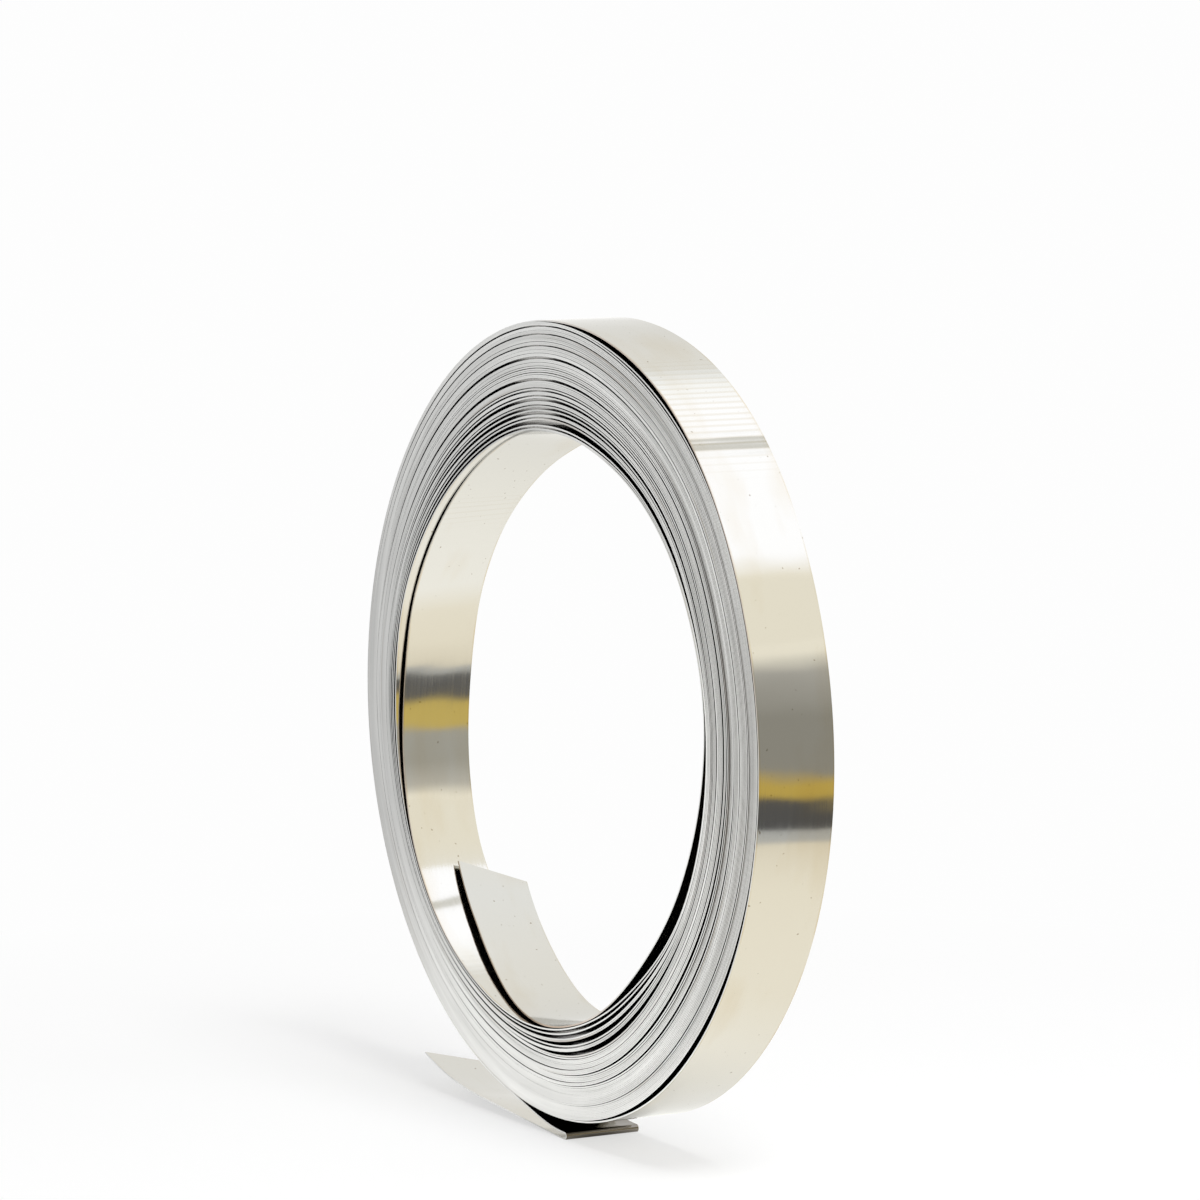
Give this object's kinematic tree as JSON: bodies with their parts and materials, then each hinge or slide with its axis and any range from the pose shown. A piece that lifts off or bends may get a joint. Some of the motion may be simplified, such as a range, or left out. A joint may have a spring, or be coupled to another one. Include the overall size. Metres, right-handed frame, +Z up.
{
  "type": "coil of nickel strip",
  "caption": "Flat coil of thin bright nickel strip standing on its rim, with its inner end loose in the eye and a folded outer end as its foot; raw stock for joining battery cells.",
  "frame": {"origin": "on the floor under the coil's axis, midway between the front of the coil and the tip of its inner end, which stands out at the back", "axes": "+Y along the coil's axis from its front to its back, +Z up from the floor, +X to the right seen from the front"},
  "size_m": [0.0784, 0.0126, 0.0798],
  "materials": {
    "nickel": "bright rolled nickel plate on thin steel strip"
  },
  "bodies": {
    "root": {"strip_coil": "nickel"}
  },
  "joints": []
}
